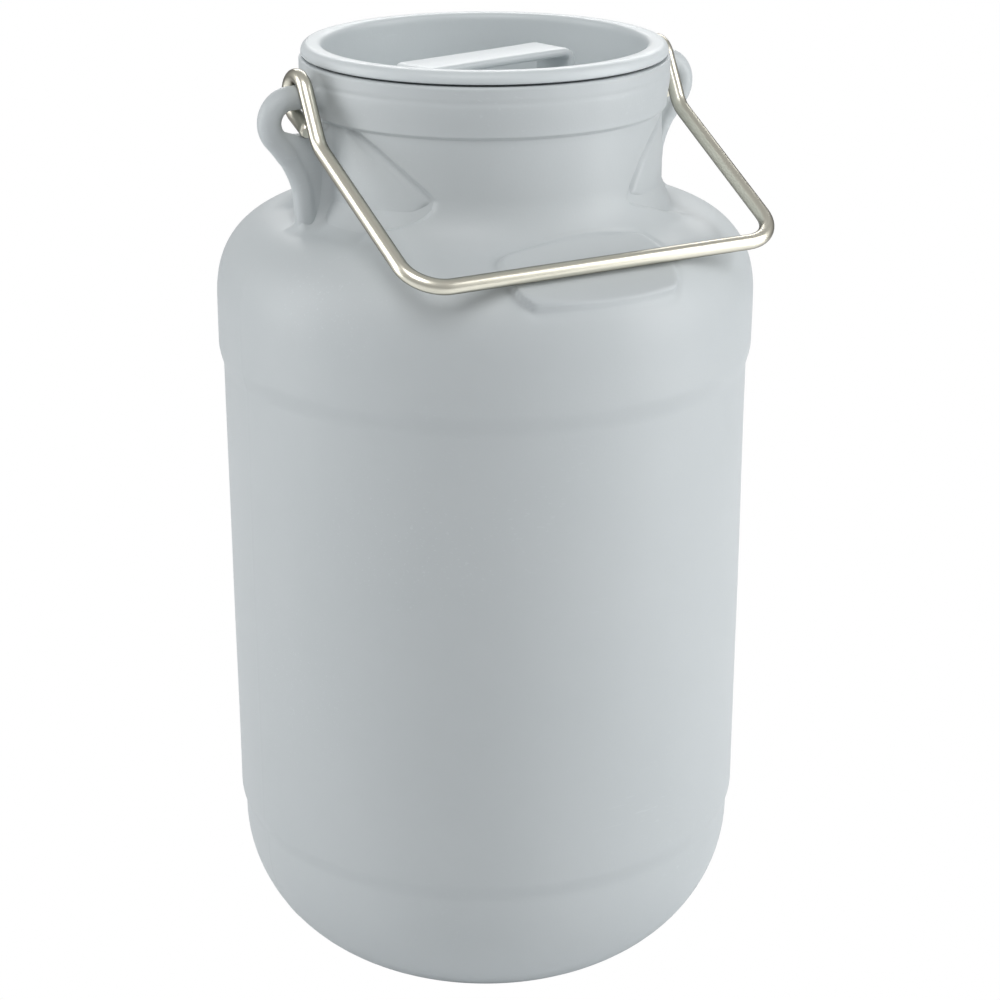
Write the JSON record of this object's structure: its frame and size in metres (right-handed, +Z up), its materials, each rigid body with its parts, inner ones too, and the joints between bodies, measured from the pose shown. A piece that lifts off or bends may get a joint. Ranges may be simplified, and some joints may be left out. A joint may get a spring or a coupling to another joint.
{
  "type": "milk can",
  "caption": "Round plastic milk can with a stepped barrel, domed shoulder, collared neck, two ears, a dished plug lid with a bridge grip, and a wire carrying bail.",
  "frame": {"origin": "centre of the foot ring, on the surface that the can stands on", "axes": "+Z up along the can's axis, the two ears lie on the X axis, the label panel and the resting bail face -Y"},
  "size_m": [0.22, 0.22, 0.3891],
  "materials": {
    "can_plastic": "satin moulded polyethylene, pale blue-grey",
    "lid_plastic": "satin moulded polyethylene, pale blue-grey",
    "seal_rubber": "matt dark grey",
    "bail_steel": "satin drawn stainless wire"
  },
  "bodies": {
    "can": {"can_body": "can_plastic"},
    "lid_set": {"lid": "lid_plastic", "lid_seal": "seal_rubber", "lid_grip": "lid_plastic"},
    "bail_wire": {"bail": "bail_steel"}
  },
  "joints": [
    {"name": "bail_swing", "type": "hinge", "parent": "can", "child": "bail_wire", "pos_m": [0, 0, 0.3735], "axis": [-1, 0, 0], "range_deg": [0, 239.3]},
    {"name": "lid_lift", "type": "slide", "parent": "can", "child": "lid_set", "axis": [0, 0, 1], "range_m": [0, 0.045]}
  ]
}
